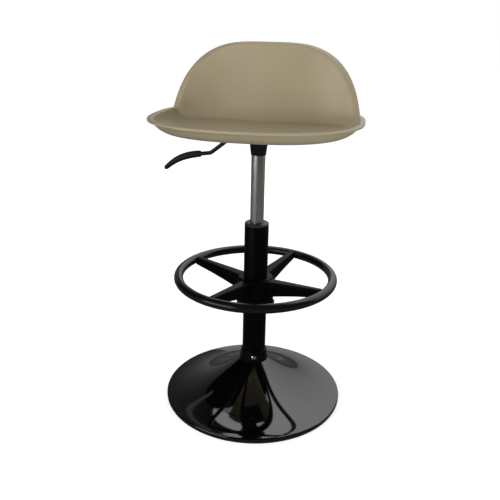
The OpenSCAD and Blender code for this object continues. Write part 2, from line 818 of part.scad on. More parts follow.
// Share of the back's full height at angle a from the back, falling off where the wrap ends
wrap_power_share = 4.5;
function back_share(a) = 1 - pow(min(1, abs(a) / back_wrap), wrap_power_share);
front_slope = 54;
back_lean = 2;
slope_soft = 12;
pan_dish = 3;
pan_dish_share = 3;
flare_droop = 38;
nose_share = 0.4;
pan_steps = 4;
corner_steps = 6;
wall_steps = 5;
flare_steps = 7;
function rim_h(a) = front_rim_h + (back_rim_h - front_rim_h) * back_share(a);
function side_slope(a) = let (up = rim_h(a) - front_rim_h)
    front_slope + (90 - back_lean - front_slope) * up / (up + slope_soft);

// Upper line of the shell at angle a, as [distance out, height]: dished pan, corner, side, flared rim
function shell_line(a) = let (
        w = side_slope(a), rr = flare_r,
        flare_w = rr * (sin(w) + sin(flare_droop)),
        corner_w = pan_corner_r * sin(w),
        corner_h = pan_corner_r * (1 - cos(w)),
        out = plan_r(a) - flare_w,
        side_h = rim_h(a) - pan_dish - corner_h - rr * (1 - cos(w)),
        side_w = side_h / tan(w),
        pan_end = out - side_w - corner_w,
        dish = function (r) pan_dish * pow(r / out, pan_dish_share),
        end_h = pan_dish + corner_h + side_h
    ) concat(
        [for (i = [1:pan_steps]) let (r = pan_end * i / pan_steps) [r, dish(r)]],
        [for (i = [1:corner_steps]) let (b = w * i / corner_steps, r = pan_end + pan_corner_r * sin(b))
            [r, dish(r) + pan_corner_r * (1 - cos(b))]],
        [for (i = [1:wall_steps]) let (r = pan_end + corner_w + side_w * i / wall_steps)
            [r, dish(r) + corner_h + side_h * i / wall_steps]],
        [for (i = [1:flare_steps]) let (b = w - (w + flare_droop) * i / flare_steps)
            [out + rr * (sin(w) - sin(b)), end_h + rr * (cos(b) - cos(w))]]
    );

// Lower line: the upper one moved by the thickness, square to its own direction
function under_line(p) = [for (i = [0:len(p) - 1]) let (
        d = p[min(i + 1, len(p) - 1)] - (i == 0 ? [0, 0] : p[i - 1]), n = norm(d)
    ) [p[i][0] + shell_t * d[1] / n, p[i][1] - shell_t * d[0] / n]];

// Rounded end of the rim, between the two lines
function nose_point(p, q) = let (e = p[len(p) - 1], f = q[len(q) - 1], d = e - f)
    (e + f) / 2 + nose_share * [d[1], -d[0]];

// Angles round the seat, closer together at the sides, where the back falls away
shell_columns = 90;
column_shift = 12;
function shell_angle(i) = let (u = -180 + 360 * i / shell_columns) u + column_shift * sin(2 * u);
function ring_at(lines, j) = [for (c = lines) let (p = c[1][j])
    [p[0] * sin(c[0]), p[0] * cos(c[0]) - seat_shift, pan_z + p[1]]];

module seat_shell() {
    upper = [for (i = [0:shell_columns - 1]) let (a = shell_angle(i)) [a, shell_line(a)]];
    lower = [for (c = upper) [c[0], under_line(c[1])]];
    nose = [for (i = [0:shell_columns - 1]) [upper[i][0], [nose_point(upper[i][1], lower[i][1])]]];
    n = len(upper[0][1]);
    color("#a69a7e")
    difference() {
        union() {
            skin(concat(
                [for (j = [0:n - 1]) ring_at(upper, j)], [ring_at(nose, 0)],
                [for (j = [n - 1:-1:0]) ring_at(lower, j)]
            ));
            for (x = [-1, 1], y = [-1, 1])
                translate([x * seat_screw_x, y * seat_screw_y, plate_z + plate_t])
                cylinder(r = boss_r, h = boss_h + shell_t / 2, $fn = small);
        }
        for (x = [-1, 1], y = [-1, 1])
            translate([x * seat_screw_x, y * seat_screw_y, plate_z + plate_t - overrun])
            cylinder(r = insert_r, h = insert_h + overrun, $fn = small);
    }
}

floor_pad();
base_weight();
base_cover();
column_flange();
flange_screws();
column_tube();
foot_collar();
foot_screw();
column_bush();
footrest_hub();
footrest_arms();
footrest_ring();
hub_screws();
bearing_lower_race();
bearing_cage();
bearing_balls();
bearing_upper_race();
bump_stop();
piston_rod();
rod_clip();
piston();
gas_cylinder();
cylinder_guide();
seat_socket();
seat_plate();
lever_bracket();
lever_pin();
seat_screws();
seat_inserts();
seat_shell();
valve_pin();
lever_rod();
lever_grip();
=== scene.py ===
"""Looks of a gas-lift bar stool: its finishes, its finely surfaced pieces and the studio round it.

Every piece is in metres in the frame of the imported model: Z up, the seat facing -Y, the height
lever at -X and the origin on the floor under the column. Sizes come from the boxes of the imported
nodes, and the few that a box can't give are fields of the class whose piece they shape.
"""

import json
import logging
import math
from dataclasses import dataclass, field
from enum import Enum

import bmesh
import bpy
import numpy as np
from mathutils import Matrix, Vector


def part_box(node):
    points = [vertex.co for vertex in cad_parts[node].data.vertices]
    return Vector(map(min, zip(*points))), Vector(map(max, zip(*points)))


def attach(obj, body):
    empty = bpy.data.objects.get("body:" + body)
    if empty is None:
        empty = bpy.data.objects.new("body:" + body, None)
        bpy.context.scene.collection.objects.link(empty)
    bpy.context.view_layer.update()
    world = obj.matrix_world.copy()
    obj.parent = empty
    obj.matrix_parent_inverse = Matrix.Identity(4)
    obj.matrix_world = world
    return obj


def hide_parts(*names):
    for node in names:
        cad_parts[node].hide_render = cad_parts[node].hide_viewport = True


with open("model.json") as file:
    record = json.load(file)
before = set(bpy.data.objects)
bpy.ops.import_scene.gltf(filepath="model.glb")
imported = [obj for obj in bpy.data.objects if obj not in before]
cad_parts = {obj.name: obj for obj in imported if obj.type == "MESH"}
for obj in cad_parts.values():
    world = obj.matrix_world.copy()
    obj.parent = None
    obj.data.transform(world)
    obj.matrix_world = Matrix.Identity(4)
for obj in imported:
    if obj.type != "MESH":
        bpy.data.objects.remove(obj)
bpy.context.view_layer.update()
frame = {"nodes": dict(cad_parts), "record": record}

log = logging.getLogger("stool")

Points = np.ndarray
MM = 0.001
IMAGE_PIXELS = 500


class Body(Enum):
    """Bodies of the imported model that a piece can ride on."""

    STAND = "stand"
    ROD = "turning_rod"
    LIFT = "seat_lift"
    VALVE = "valve"
    LEVER = "lever"


def turned(profile: Points, sides: int, turn: float = 0.0) -> Points:
    """Points of a profile turned round the Z axis: x = r cos t, y = r sin t, z = z.

    Args:
        profile: rows of (radius, height).
        sides: number of columns round the axis.
        turn: angle of the first column in radians.

    Returns:
        Grid of points, one row for each profile point and one column for each angle.
    """
    t = turn + np.linspace(0.0, 2.0 * np.pi, sides, endpoint=False)
    r, z = profile[:, 0, None], profile[:, 1, None]
    return np.stack([r * np.cos(t), r * np.sin(t), z + 0.0 * t], axis=-1)


def swept(path: Points, radii: Points, sides: int, flatness: float = 1.0) -> Points:
    """Round section carried along a path in the XZ plane: p + r (cos a * side + sin a * Y).

    Args:
        path: points of the middle line, rows of (x, z).
        radii: radius at each point.
        sides: number of columns round the section.
        flatness: width of the section along Y as a share of its height.

    Returns:
        Grid of points, one row for each path point.
    """
    along = np.gradient(path, axis=0)
    along /= np.linalg.norm(along, axis=1, keepdims=True)
    side = np.stack([-along[:, 1], along[:, 0]], axis=1)
    a = np.linspace(0.0, 2.0 * np.pi, sides, endpoint=False)
    r = radii[:, None]
    x = path[:, 0, None] + r * np.cos(a) * side[:, 0, None]
    z = path[:, 1, None] + r * np.cos(a) * side[:, 1, None]
    y = flatness * r * np.sin(a)
    return np.stack([x, y + 0.0 * x, z], axis=-1)


def rounded(corners: list[tuple[float, float, float]], steps: int = 6, closed: bool = True) -> Points:
    """Outline whose corners are arcs: each corner's arc touches both sides f tan(turn / 2) from it.

    Args:
        corners: rows of (radius, height, fillet radius).
        steps: points in each arc.
        closed: whether the last corner joins the first.

    Returns:
        Rows of (radius, height).
    """
    pts = np.array(corners, float)
    out: list[Points] = []
    count = len(pts)
    for i, (r, z, fillet) in enumerate(pts):
        here = np.array([r, z])
        ends = not closed and i in (0, count - 1)
        if fillet <= 0.0 or ends:
            out.append(here[None])
            continue
        back = pts[i - 1, :2] - here
        ahead = pts[(i + 1) % count, :2] - here
        u, v = back / np.linalg.norm(back), ahead / np.linalg.norm(ahead)
        half = 0.5 * math.acos(float(np.clip(u @ v, -1.0, 1.0)))
        reach = min(fillet / math.tan(half), 0.49 * np.linalg.norm(back), 0.49 * np.linalg.norm(ahead))
        radius = reach * math.tan(half)
        centre = here + (u + v) / np.linalg.norm(u + v) * math.hypot(reach, radius)
        a, b = here + u * reach - centre, here + v * reach - centre
        sweep = math.pi - 2.0 * half
        t = np.linspace(0.0, 1.0, steps)[:, None]
        out.append(centre + (np.sin((1.0 - t) * sweep) * a + np.sin(t * sweep) * b) / math.sin(sweep))
    return np.vstack(out)


def enclosed(grid: Points, quads: Points) -> float:
    """Six times the volume inside a closed mesh, negative where its faces point inwards."""
    a, b, c, d = (grid[quads[:, k]] for k in range(4))
    return float((np.cross(a, b) * c).sum() + (np.cross(a, c) * d).sum())


def skinned(name: str, grid: Points, body: Body, loop: bool = False) -> bpy.types.Object:
    """Closed mesh over a grid whose columns run round the shape.

    Args:
        name: name of the new piece.
        grid: points, rows along the shape and columns round it.
        body: body that the piece rides on.
        loop: whether the last row joins the first; otherwise each end closes in a fan.

    Returns:
        The piece, smooth shaded, riding on its body.
    """
    rows, cols = grid.shape[:2]
    points = grid.reshape(-1, 3)
    i, j = np.meshgrid(np.arange(rows if loop else rows - 1), np.arange(cols), indexing="ij")
    low, high, step = i * cols, (i + 1) % rows * cols, (j + 1) % cols
    quads = np.stack([low + j, low + step, high + step, high + j], axis=-1).reshape(-1, 4)
    if not loop:
        poles = np.stack([grid[0].mean(axis=0), grid[-1].mean(axis=0)])
        points = np.vstack([points, poles])
        first, last = rows * cols, rows * cols + 1
        ring, after = np.arange(cols), (np.arange(cols) + 1) % cols
        end = (rows - 1) * cols
        start_fan = np.stack([after, ring, np.full(cols, first), np.full(cols, first)], axis=-1)
        end_fan = np.stack([end + ring, end + after, np.full(cols, last), np.full(cols, last)], axis=-1)
        quads = np.vstack([quads, start_fan, end_fan])
    if enclosed(points, quads) < 0.0:
        quads = quads[:, ::-1]
    return meshed(name, points, quads, body)


def meshed(name: str, points: Points, quads: Points, body: Body) -> bpy.types.Object:
    """Mesh object from points and faces of four corners, of which two may be the same.

    Args:
        name: name of the piece and its mesh.
        points: rows of x, y, z.
        quads: rows of four point numbers; a repeated one makes a triangle.
        body: body that the piece rides on.

    Returns:
        The piece, smooth shaded, riding on its body.
    """
    faces = [tuple(dict.fromkeys(q)) for q in quads.tolist()]
    mesh = bpy.data.meshes.new(name)
    mesh.from_pydata(points.tolist(), [], faces)
    mesh.polygons.foreach_set("use_smooth", np.ones(len(faces), bool))
    mesh.update()
    piece = bpy.data.objects.new(name, mesh)
    bpy.context.scene.collection.objects.link(piece)
    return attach(piece, body.value)


def soften(piece: bpy.types.Object, angle: float) -> None:
    """Edges that turn by more than an angle stay sharp in the shading.

    Args:
        piece: mesh piece that is smooth shaded.
        angle: angle in degrees.
    """
    piece.data.set_sharp_from_angle(angle=math.radians(angle))


def within(grid: Points, node: str) -> Points:
    """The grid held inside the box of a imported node, so that no piece grows past its solid."""
    low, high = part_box(node)
    return np.clip(grid, np.array(low), np.array(high))


def section_box(width: Points, low: Points, high: Points, round_to: float,
                steps: int = 6) -> tuple[Points, Points]:
    """Rounded rectangles, one row each: four quarter arcs of one radius joined by straight sides.

    Args:
        width: half width of each section.
        low: lowest height of each section.
        high: highest height of each section.
        round_to: radius of the corners.
        steps: points in each corner's arc.

    Returns:
        The places across and the heights, as grids of sections by points.
    """
    quarter = np.linspace(0.0, 0.5 * np.pi, steps)
    a = np.concatenate([quarter + k * 0.5 * np.pi for k in range(4)])
    middle, half = 0.5 * (low + high)[:, None], 0.5 * (high - low)[:, None]
    r = np.minimum(round_to, 0.98 * np.minimum(width[:, None], half))
    side = np.repeat([1.0, -1.0, -1.0, 1.0], steps)
    rise = np.repeat([1.0, 1.0, -1.0, -1.0], steps)
    across = side * (width[:, None] - r) + r * np.cos(a)
    up = middle + rise * (half - r) + r * np.sin(a)
    return across, up


def copied(node: str, name: str, body: Body, edge: float = 0.35 * MM,
           angle: float = 32.0) -> bpy.types.Object:
    """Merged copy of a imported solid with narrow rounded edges, so that its rims catch the light.

    Args:
        node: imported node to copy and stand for.
        name: name of the new piece.
        body: body that the piece rides on.
        edge: width of the rounding.
        angle: edges that turn by more than this many degrees are rounded.

    Returns:
        The piece, dressed, standing for the node.
    """
    source = frame["nodes"][node]
    mesh = source.data.copy()
    mesh.name = name
    work = bmesh.new()
    work.from_mesh(mesh)
    bmesh.ops.remove_doubles(work, verts=work.verts, dist=0.002 * MM)
    bmesh.ops.dissolve_limit(work, angle_limit=math.radians(0.4), verts=work.verts, edges=work.edges)
    bmesh.ops.recalc_face_normals(work, faces=work.faces)
    work.to_mesh(mesh)
    work.free()
    mesh.polygons.foreach_set("use_smooth", np.ones(len(mesh.polygons), bool))
    piece = bpy.data.objects.new(name, mesh)
    bpy.context.scene.collection.objects.link(piece)
    if edge > 0.0:
        rims = piece.modifiers.new("rims", "BEVEL")
        rims.width, rims.segments = edge, 3
        rims.limit_method, rims.angle_limit = "ANGLE", math.radians(angle)
        rims.use_clamp_overlap = True
        rims.harden_normals = True
    soften(piece, angle)
    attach(piece, body.value)
    return dress_as(piece, node)


@dataclass(frozen=True)
class Finish:
    """One surface: its colour, gloss, fine relief, and how far each varies over the piece."""

    name: str
    colour: tuple[float, float, float]
    roughness: float
    metallic: float = 0.0
    specular: float = 0.5
    tone: float = 0.06
    tone_scale: float = 18.0
    grain: float = 0.02
    grain_scale: float = 900.0
    gloss_drift: float = 0.05
    gloss_scale: float = 60.0
    stretch: tuple[float, float, float] = (1.0, 1.0, 1.0)

    def material(self) -> bpy.types.Material:
        """Procedural material on Object coordinates.

        The colour drifts between two tones with a broad noise, the roughness drifts with a
        second noise, and a fine third noise is the bump. The stretch draws all three out along
        one axis, as on brushed or ground metal.

        Returns:
            The material, made once and kept under the finish's name.
        """
        title = f"{self.name}_finish"
        found = bpy.data.materials.get(title)
        if found:
            return found
        made = bpy.data.materials.new(title)
        made.use_nodes = True
        made.diffuse_color = (*self.colour, 1.0)
        tree = made.node_tree
        shader = tree.nodes["Principled BSDF"]
        shader.inputs["Metallic"].default_value = self.metallic
        shader.inputs["Specular IOR Level"].default_value = self.specular
        place = tree.nodes.new("ShaderNodeTexCoord")
        mapping = tree.nodes.new("ShaderNodeMapping")
        mapping.inputs["Scale"].default_value = self.stretch
        tree.links.new(place.outputs["Object"], mapping.inputs["Vector"])

        def noise(scale: float, detail: float) -> bpy.types.NodeSocket:
            """Noise over the stretched coordinates.

            Args:
                scale: repeats of the noise in a metre.
                detail: octaves of finer noise on top.

            Returns:
                Socket of a value from 0 to 1.
            """
            node = tree.nodes.new("ShaderNodeTexNoise")
            node.inputs["Scale"].default_value = scale
            node.inputs["Detail"].default_value = detail
            tree.links.new(mapping.outputs["Vector"], node.inputs["Vector"])
            return node.outputs["Fac"]

        tones = tree.nodes.new("ShaderNodeValToRGB")
        tones.color_ramp.elements[0].position, tones.color_ramp.elements[1].position = 0.3, 0.7
        for element, share in zip(tones.color_ramp.elements, (1.0 - self.tone, 1.0 + self.tone)):
            element.color = (*(min(1.0, share * c) for c in self.colour), 1.0)
        tree.links.new(noise(self.tone_scale, 3.0), tones.inputs["Fac"])
        tree.links.new(tones.outputs["Color"], shader.inputs["Base Color"])

        drift = tree.nodes.new("ShaderNodeMapRange")
        drift.inputs["To Min"].default_value = max(0.02, self.roughness - self.gloss_drift)
        drift.inputs["To Max"].default_value = min(1.0, self.roughness + self.gloss_drift)
        tree.links.new(noise(self.gloss_scale, 4.0), drift.inputs["Value"])
        tree.links.new(drift.outputs["Result"], shader.inputs["Roughness"])

        bump = tree.nodes.new("ShaderNodeBump")
        bump.inputs["Strength"].default_value = self.grain
        bump.inputs["Distance"].default_value = MM
        tree.links.new(noise(self.grain_scale, 2.0), bump.inputs["Height"])
        tree.links.new(bump.outputs["Normal"], shader.inputs["Normal"])
        return made

    def dress(self, piece: bpy.types.Object) -> None:
        """Puts the finish on every material slot of a piece.

        Args:
            piece: piece to dress, with or without materials of its own.
        """
        if piece.data.materials:
            for k in range(len(piece.data.materials)):
                piece.data.materials[k] = self.material()
        else:
            piece.data.materials.append(self.material())


FINISHES: dict[str, Finish] = {
    finish.name: finish
    for finish in (
        Finish("floor_rubber", (0.022, 0.022, 0.023), 0.75, tone=0.15, grain=0.25, grain_scale=1400.0),
        Finish("cast_weight", (0.11, 0.11, 0.115), 0.6, metallic=0.4, tone=0.2, grain=0.4, grain_scale=500.0),
        Finish("base_black", (0.0015, 0.0015, 0.0016), 0.06, specular=0.85, tone=0.2, grain=0.012,
               grain_scale=130.0, gloss_drift=0.02, gloss_scale=25.0),
        Finish("dark_steel", (0.07, 0.07, 0.075), 0.45, metallic=0.6, grain=0.1),
        Finish("zinc_steel", (0.58, 0.58, 0.6), 0.3, metallic=1.0, tone=0.08, tone_scale=220.0, grain=0.05),
        Finish("column_black", (0.0015, 0.0015, 0.0016), 0.34, specular=0.06, tone=0.12, grain=0.05,
               grain_scale=1600.0),
        Finish("collar_black", (0.0018, 0.0018, 0.0019), 0.26, specular=0.1, tone=0.12, grain=0.04,
               grain_scale=1300.0),
        Finish("bright_screw", (0.78, 0.78, 0.8), 0.18, metallic=1.0, tone=0.05, tone_scale=400.0,
               grain=0.03),
        Finish("bush_plastic", (0.018, 0.018, 0.018), 0.45, tone=0.12, grain=0.08, grain_scale=1500.0),
        Finish("footrest_black", (0.005, 0.005, 0.0052), 0.2, specular=0.42, tone=0.15, grain=0.03,
               grain_scale=420.0),
        Finish("arm_black", (0.0015, 0.0015, 0.0016), 0.36, specular=0.06, tone=0.15, grain=0.06,
               grain_scale=700.0),
        Finish("dark_screw", (0.03, 0.03, 0.031), 0.4, metallic=0.7, grain=0.05),
        Finish("bearing_steel", (0.66, 0.67, 0.69), 0.16, metallic=1.0, tone=0.05, grain=0.02),
        Finish("bearing_brass", (0.6, 0.45, 0.2), 0.28, metallic=1.0, tone=0.1, grain=0.05),
        Finish("buffer_rubber", (0.02, 0.02, 0.021), 0.7, tone=0.15, grain=0.2, grain_scale=1200.0),
        Finish("rod_chrome", (0.76, 0.76, 0.78), 0.1, metallic=1.0, tone=0.04, grain=0.01,
               stretch=(1.0, 1.0, 0.05)),
        Finish("cylinder_chrome", (0.74, 0.72, 0.66), 0.28, metallic=1.0, tone=0.05, tone_scale=60.0,
               grain=0.008, grain_scale=1500.0, stretch=(1.0, 1.0, 0.03), gloss_drift=0.03),
        Finish("plate_black", (0.007, 0.007, 0.0073), 0.42, specular=0.15, tone=0.15, grain=0.07,
               grain_scale=1400.0),
        Finish("insert_brass", (0.62, 0.47, 0.21), 0.25, metallic=1.0, tone=0.08, grain=0.04),
        Finish("seat_plastic", (0.4, 0.337, 0.219), 0.42, specular=0.55, tone=0.035, tone_scale=9.0,
               grain=0.06, grain_scale=1100.0, gloss_drift=0.04, gloss_scale=30.0),
        Finish("lever_black", (0.007, 0.007, 0.0073), 0.35, specular=0.25, grain=0.05),
        Finish("grip_plastic", (0.008, 0.008, 0.0083), 0.42, specular=0.25, tone=0.15, grain=0.12,
               grain_scale=1300.0),
    )
}

SLOT_OF: dict[str, str] = {row["node"]: row["material_slot"] for row in frame["record"]["subparts"]}
FINISH_OF: dict[str, str] = {**SLOT_OF, "footrest_arms": "arm_black", "footrest_hub": "arm_black"}


def dress_as(piece: bpy.types.Object, node: str) -> bpy.types.Object:
    """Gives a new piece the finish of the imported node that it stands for.

    Args:
        piece: piece in place.
        node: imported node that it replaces.

    Returns:
        The piece.
    """
    FINISHES[FINISH_OF[node]].dress(piece)
    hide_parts(node)
    return piece


@dataclass
class Base:
    """Trumpet base: a glossy sheet cover on a rubber pad, and the collar at the foot of the column."""

    edge_height: float = 12 * MM
    edge_round: float = 3 * MM
    wall: float = 2 * MM
    hollow: float = 1.75
    neck_inset: float = 1.5 * MM
    collar_roll: float = 1.5 * MM
    collar_taper: float = 3.6 * MM
    sides: int = 288

    def cover_profile(self) -> Points:
        """Closed outline of the cover.

        The trumpet is z = edge + height * s ^ hollow, with s from 0 at the edge to 1 at the
        neck. The inside is the outside moved by the wall, square to the slope.

        Returns:
            Rows of (radius, height).
        """
        low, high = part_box("base_cover")
        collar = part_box("foot_collar")[1].x
        start, neck = high.x - self.edge_round, collar - self.neck_inset
        s = 1.0 - (1.0 - np.linspace(0.0, 1.0, 90)) ** 1.35
        r = start - (start - neck) * s
        rise = high.z - self.edge_height
        z = self.edge_height + rise * s**self.hollow
        slope = np.arctan(self.hollow * rise / (start - neck) * s ** (self.hollow - 1.0))
        a = np.linspace(0.0, 0.5 * np.pi, 9)[:-1]
        edge = self.edge_height - self.edge_round

        def arc(radius: float) -> Points:
            """Quarter round at the outer edge."""
            return np.stack([start + radius * np.cos(a), edge + radius * np.sin(a)], axis=1)

        outer = np.vstack([[[high.x, low.z]], arc(self.edge_round), np.stack([r, z], axis=1)])
        inside = np.stack([r - self.wall * np.sin(slope), z - self.wall * np.cos(slope)], axis=1)
        inner = np.vstack([[[high.x - self.wall, low.z]], arc(self.edge_round - self.wall), inside])
        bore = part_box("column_tube")[1].x
        return np.vstack([outer, [[bore, high.z], [bore, high.z - self.wall]], inner[::-1]])

    def collar(self) -> None:
        """Makes the collar: a short cone with a rolled foot and a rolled top."""
        low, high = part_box("foot_collar")
        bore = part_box("column_tube")[1].x
        waist = high.x - self.collar_taper
        profile = rounded([(high.x, low.z, 0.4 * MM), (high.x, low.z + self.collar_roll, self.collar_roll),
                           (waist, high.z, self.collar_roll), (bore, high.z, 0.0), (bore, low.z, 0.0)], 8)
        collar = skinned("foot_ring_collar", within(turned(profile, self.sides // 2), "foot_collar"),
                         Body.STAND, loop=True)
        soften(collar, 50.0)
        dress_as(collar, "foot_collar")
        log.info("collar: %d faces", len(collar.data.polygons))

    def build(self) -> None:
        """Makes the cover, the collar and its screw, and dresses them."""
        cover = skinned("trumpet_cover", within(turned(self.cover_profile(), self.sides), "base_cover"),
                        Body.STAND, loop=True)
        soften(cover, 50.0)
        dress_as(cover, "base_cover")
        log.info("trumpet cover: %d faces", len(cover.data.polygons))
        self.collar()
        for node in ("floor_pad", "base_weight", "column_flange", "flange_screws", "foot_screw",
                     "bearing_lower_race"):
            copied(node, f"{node}_rims", Body.STAND, edge=0.2 * MM)


@dataclass
class Column:
    """Column: a straight tube and the plastic bush in its top, which guides the lift."""

    wall: float = 2 * MM
    sides: int = 160

    def build(self) -> None:
        """Makes the tube, rounds the bush's rims and dresses both."""
        low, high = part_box("column_tube")
        edge = 0.4 * MM
        inner = high.x - self.wall
        profile = rounded([(high.x, low.z, 0.0), (high.x, high.z, edge), (inner, high.z, edge),
                           (inner, low.z, 0.0)], 4)
        tube = skinned("column", turned(profile, self.sides), Body.STAND, loop=True)
        soften(tube, 50.0)
        dress_as(tube, "column_tube")
        log.info("column: %d faces", len(tube.data.polygons))
        copied("column_bush", "bush", Body.STAND, edge=0.5 * MM)


@dataclass
class Footrest:
    """Footrest: ring of round tube, four tapering arms and the hub round the column."""

    first_arm: float = math.radians(67)
    arms: int = 4
    tip_width: float = 12 * MM
    root_width: float = 24 * MM
    tip_height: float = 17 * MM
    root_height: float = 34 * MM
    root_drop: float = 2 * MM
    arch: float = 2 * MM
    cast_round: float = 3 * MM
    sides: int = 288

    def ring(self) -> None:
        """Makes the ring, a circle of the tube's radius turned round the axis."""
        low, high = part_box("footrest_ring")
        tube = 0.5 * (high.z - low.z)
        a = np.linspace(0.0, 2.0 * np.pi, 48, endpoint=False)
        middle = high.x - tube
        profile = np.stack([middle + tube * np.cos(a), 0.5 * (low.z + high.z) + tube * np.sin(a)], axis=1)
        ring = skinned("foot_ring", turned(profile, self.sides), Body.STAND, loop=True)
        dress_as(ring, "footrest_ring")
        log.info("foot ring: %d faces", len(ring.data.polygons))

    def spokes(self) -> None:
        """Makes the arms in one mesh: rounded sections carried outward from the hub to the ring.

        The half width falls straight from root to tip, the top rises straight, and the underside
        rises along a line that an arch, 4 s (1 - s) high at its middle, lifts.
        """
        ring_low, ring_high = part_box("footrest_ring")
        hub_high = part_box("footrest_hub")[1]
        tube = 0.5 * (ring_high.z - ring_low.z)
        root, tip = hub_high.x - 1.5 * MM, ring_high.x - 2.0 * tube + 1.2 * MM
        end = ring_high.x - tube
        level = 0.5 * (ring_low.z + ring_high.z)
        r = np.linspace(root, tip, 40)
        s = np.clip((r - hub_high.x) / (end - hub_high.x), 0.0, 1.0)
        half = 0.5 * (self.root_width + (self.tip_width - self.root_width) * s)
        top_root = hub_high.z - self.root_drop
        top = top_root + (level + 0.5 * self.tip_height - top_root) * s
        low_root = top_root - self.root_height
        low = low_root + (level - 0.5 * self.tip_height - low_root) * s + self.arch * 4.0 * s * (1.0 - s)
        across, up = section_box(half, low, top, self.cast_round)
        out = r[:, None] + 0.0 * across
        for k in range(self.arms):
            a = self.first_arm + 2.0 * np.pi * k / self.arms
            grid = np.stack([out * math.cos(a) - across * math.sin(a),
                             out * math.sin(a) + across * math.cos(a), up], axis=-1)
            arm = skinned(f"foot_arm_{k + 1}", within(grid, "footrest_arms"), Body.STAND)
            soften(arm, 50.0)
            dress_as(arm, "footrest_arms")
        log.info("foot arms: %d", self.arms)

    def build(self) -> None:
        """Makes the footrest's pieces."""
        self.ring()
        self.spokes()
        copied("footrest_hub", "foot_hub", Body.STAND, edge=0.8 * MM)
        copied("hub_screws", "hub_screw_heads", Body.STAND)


@dataclass
class Lift:
    """Gas lift: the cylinder that carries the seat, and the rod, bearing and guide inside it."""

    wall: float = 2 * MM
    end_round: float = 1.5 * MM
    taper_length: float = 25 * MM
    taper_drop: float = 1.1 * MM
    lead: float = 4 * MM
    cap: float = 21 * MM
    valve_bore: float = 3.05 * MM
    sides: int = 160

    def cylinder(self) -> None:
        """Makes the cylinder: a tube with a rolled foot, a slow taper and a closed top."""
        low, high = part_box("gas_cylinder")
        seat = high.z - self.taper_length - self.lead
        bore = high.x - self.wall
        profile = rounded([(bore, low.z, 0.5 * MM), (high.x, low.z, self.end_round), (high.x, seat, 0.0),
                           (high.x - self.taper_drop, high.z, 0.6 * MM), (self.valve_bore, high.z, 0.0),
                           (self.valve_bore, high.z - self.cap, 0.0), (bore, high.z - self.cap, 0.0)], 6)
        tube = skinned("lift_cylinder", turned(profile, self.sides), Body.LIFT, loop=True)
        soften(tube, 40.0)
        dress_as(tube, "gas_cylinder")
        log.info("lift cylinder: %d faces", len(tube.data.polygons))

    def build(self) -> None:
        """Makes the cylinder and rounds the rims of the pieces inside it."""
        self.cylinder()
        for node in ("piston_rod", "rod_clip", "piston", "bump_stop", "bearing_upper_race",
                     "bearing_cage", "bearing_balls"):
            copied(node, f"{node}_rims", Body.ROD, edge=0.15 * MM)
        copied("cylinder_guide", "guide_bush", Body.LIFT, edge=0.3 * MM)
        copied("seat_socket", "socket", Body.LIFT, edge=0.6 * MM)
        copied("valve_pin", "valve_pin_rims", Body.VALVE, edge=0.3 * MM)


